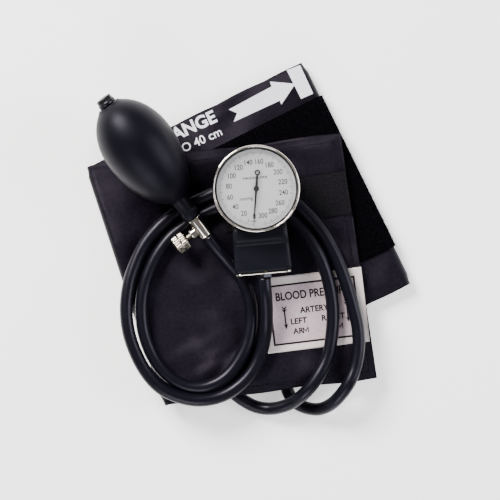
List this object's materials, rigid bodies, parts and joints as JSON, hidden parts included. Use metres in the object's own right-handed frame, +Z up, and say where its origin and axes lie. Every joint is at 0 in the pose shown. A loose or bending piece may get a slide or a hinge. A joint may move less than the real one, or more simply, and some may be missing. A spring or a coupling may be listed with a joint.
{
  "type": "upper arm blood pressure monitor",
  "caption": "Hand-inflated arm blood pressure monitor: folded cuff, dial gauge with geared movement, rubber bulb with release valve, and hoses.",
  "frame": {"origin": "bottom centre of the cuff, gauge and bulb as they lie, at the underside of the pile tape", "axes": "+Z up from the surface it lies on; +Y towards the twelve o'clock side of the gauge, +X to the right seen from above"},
  "size_m": [0.1918, 0.2082, 0.0586],
  "materials": {
    "nylon": "woven nylon, calendered, faint sheen",
    "loop_pile": "brushed loop pile, very matte",
    "hook_tape": "moulded hook tape",
    "webbing": "ribbed polyester webbing, stitched",
    "satin": "printed silver satin",
    "bladder_rubber": "matte sheet rubber",
    "black_rubber": "matte moulded rubber",
    "bulb_rubber": "smooth semi-matte black rubber",
    "hose_rubber": "extruded black rubber, soft sheen",
    "moulding": "moulded black nylon, fine texture",
    "chrome": "polished chrome plate",
    "nickel": "satin nickel plate",
    "brass": "turned brass",
    "bronze": "spring bronze",
    "steel": "bright drawn steel",
    "dial_enamel": "white enamel, printed scale",
    "black_paint": "semi-matte black paint",
    "glass": "clear mineral glass"
  },
  "bodies": {
    "body": {"backing_cloth": "nylon", "ball_keeper": "brass", "bezel": "chrome", "bladder": "bladder_rubber", "bulb": "bulb_rubber", "bulb_hose": "hose_rubber", "capsule": "bronze", "cuff_label": "satin", "dial_plate": "dial_enamel", "face_cloth": "nylon", "feed_tube": "brass", "gauge_case": "moulding", "gauge_glass": "glass", "gauge_hose": "hose_rubber", "gauge_port": "brass", "glass_spacer": "black_rubber", "hairspring": "bronze", "holder_webbing": "webbing", "hook_tape": "hook_tape", "inlet_valve": "nickel", "lower_plate": "brass", "movement_screw_1": "steel", "movement_screw_2": "steel", "movement_screw_3": "steel", "pile_tape": "loop_pile", "plate_pillar_1": "brass", "plate_pillar_2": "brass", "plate_pillar_3": "brass", "port_nut": "nickel", "spring_clip": "chrome", "upper_plate": "brass", "valve_body": "chrome"},
    "sector": {"sector_gear": "brass", "sector_arbor": "steel"},
    "pointer": {"pointer_pinion": "steel", "pointer": "black_paint"},
    "rocker": {"rocking_shaft": "steel"},
    "stud": {"capsule_stud": "steel"},
    "release_seal": {"seal_tip": "black_rubber"},
    "release_screw": {"release_stem": "brass", "release_knob": "nickel"},
    "inlet_ball_body": {"inlet_ball": "steel"}
  },
  "joints": [
    {"name": "sector_swing", "type": "hinge", "parent": "body", "child": "sector", "pos_m": [-0.00012, 0.03807, 0.0248], "axis": [0, 0, 1], "range_deg": [0, 42.75]},
    {"name": "pointer_spin", "type": "hinge", "parent": "body", "child": "pointer", "pos_m": [0.00417, 0.02517, 0.0248], "axis": [0, 0, 1], "range_deg": [-342, 0]},
    {"name": "rocker_swing", "type": "hinge", "parent": "body", "child": "rocker", "pos_m": [0.00158, 0.02493, 0.0344], "axis": [0.0889, -0.996, 0], "range_deg": [0, 24]},
    {"name": "capsule_lift", "type": "slide", "parent": "body", "child": "stud", "axis": [0, 0, 1], "range_m": [0, 0.00108]},
    {"name": "release_travel", "type": "slide", "parent": "body", "child": "release_seal", "axis": [-0.7982, -0.6024, 0], "range_m": [0, 0.00106]},
    {"name": "release_turn", "type": "hinge", "parent": "release_seal", "child": "release_screw", "pos_m": [-0.02776, 0.00314, 0.02652], "axis": [-0.7982, -0.6024, 0], "range_deg": [0, 540]},
    {"name": "inlet_lift", "type": "slide", "parent": "body", "child": "inlet_ball_body", "axis": [0.5925, -0.785, -0.1811], "range_m": [0, 0.0006]}
  ],
  "couplings": [
    {"joint": "pointer_spin", "follows": "sector_swing", "ratio": -8},
    {"joint": "rocker_swing", "follows": "sector_swing", "ratio": 0.5613},
    {"joint": "capsule_lift", "follows": "sector_swing", "m_per_rad": 0.001447},
    {"joint": "release_travel", "follows": "release_turn", "m_per_rad": 0.0001114}
  ]
}
